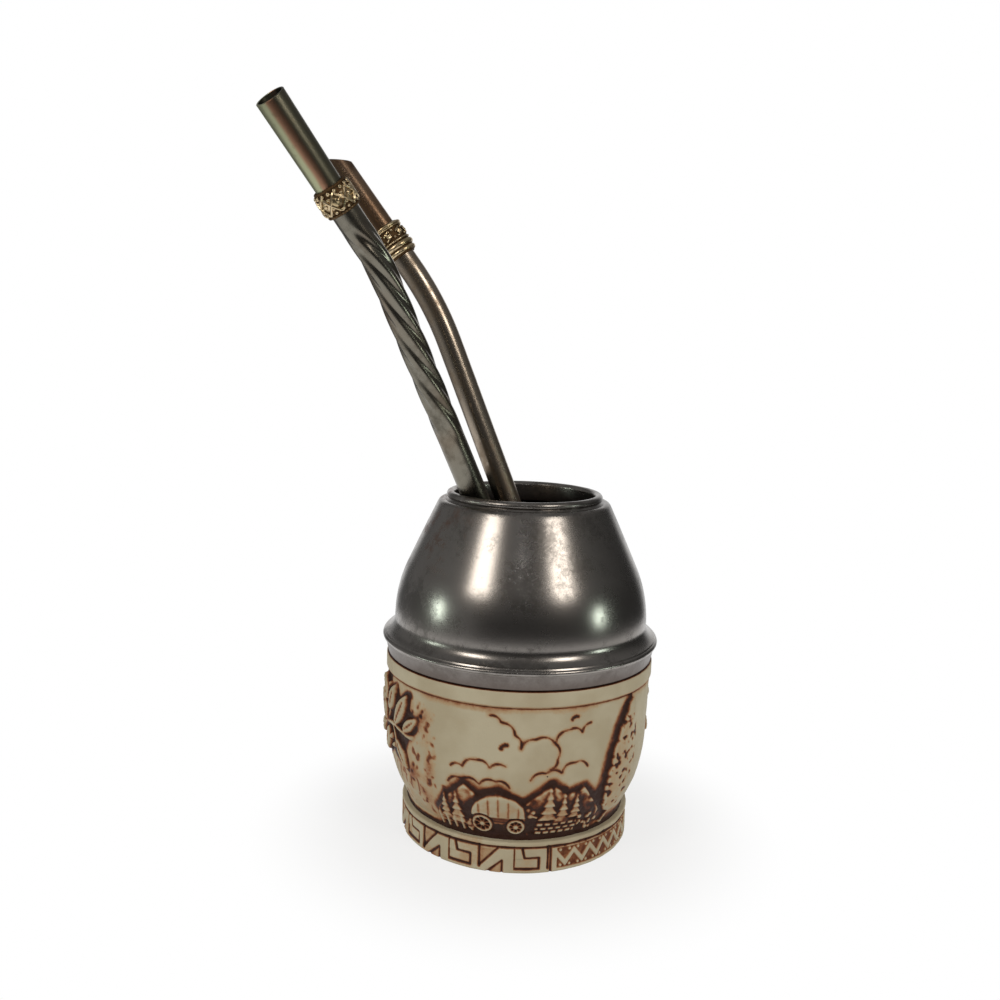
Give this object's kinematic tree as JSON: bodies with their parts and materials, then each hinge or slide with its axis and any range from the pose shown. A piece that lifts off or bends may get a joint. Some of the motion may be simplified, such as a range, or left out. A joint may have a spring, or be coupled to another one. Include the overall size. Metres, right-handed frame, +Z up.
{
  "type": "mate gourd cup with two drinking straws",
  "caption": "Round mate cup: a domed metal cup with a rolled rim seated in a relief-cast resin pot, with a twisted and a plain metal bombilla leaning in it.",
  "frame": {"origin": "centre of the pot's flat base, on the cup's axis", "axes": "+Z up along the cup's axis; the straws lean out of the mouth towards -X, and the twisted straw also towards -Y, the front"},
  "size_m": [0.1063, 0.0889, 0.2003],
  "materials": {
    "cast_resin": "cream cast resin with dark brown patina in the recesses",
    "alpaca_metal": "tarnished dark grey, polished dome and matte hem",
    "straw_steel": "polished grey with warm tarnish",
    "mouthpiece_nickel": "polished olive grey",
    "bronze_mouthpiece": "polished brown bronze",
    "antique_brass": "antique gold with dark recesses"
  },
  "bodies": {
    "root": {"resin_pot": "cast_resin", "metal_cup": "alpaca_metal", "twisted_straw_tube": "straw_steel", "twisted_straw_mouthpiece": "mouthpiece_nickel", "twisted_straw_ring": "antique_brass", "plain_straw_tube": "straw_steel", "plain_straw_mouthpiece": "bronze_mouthpiece", "plain_straw_collar": "antique_brass"}
  },
  "joints": []
}
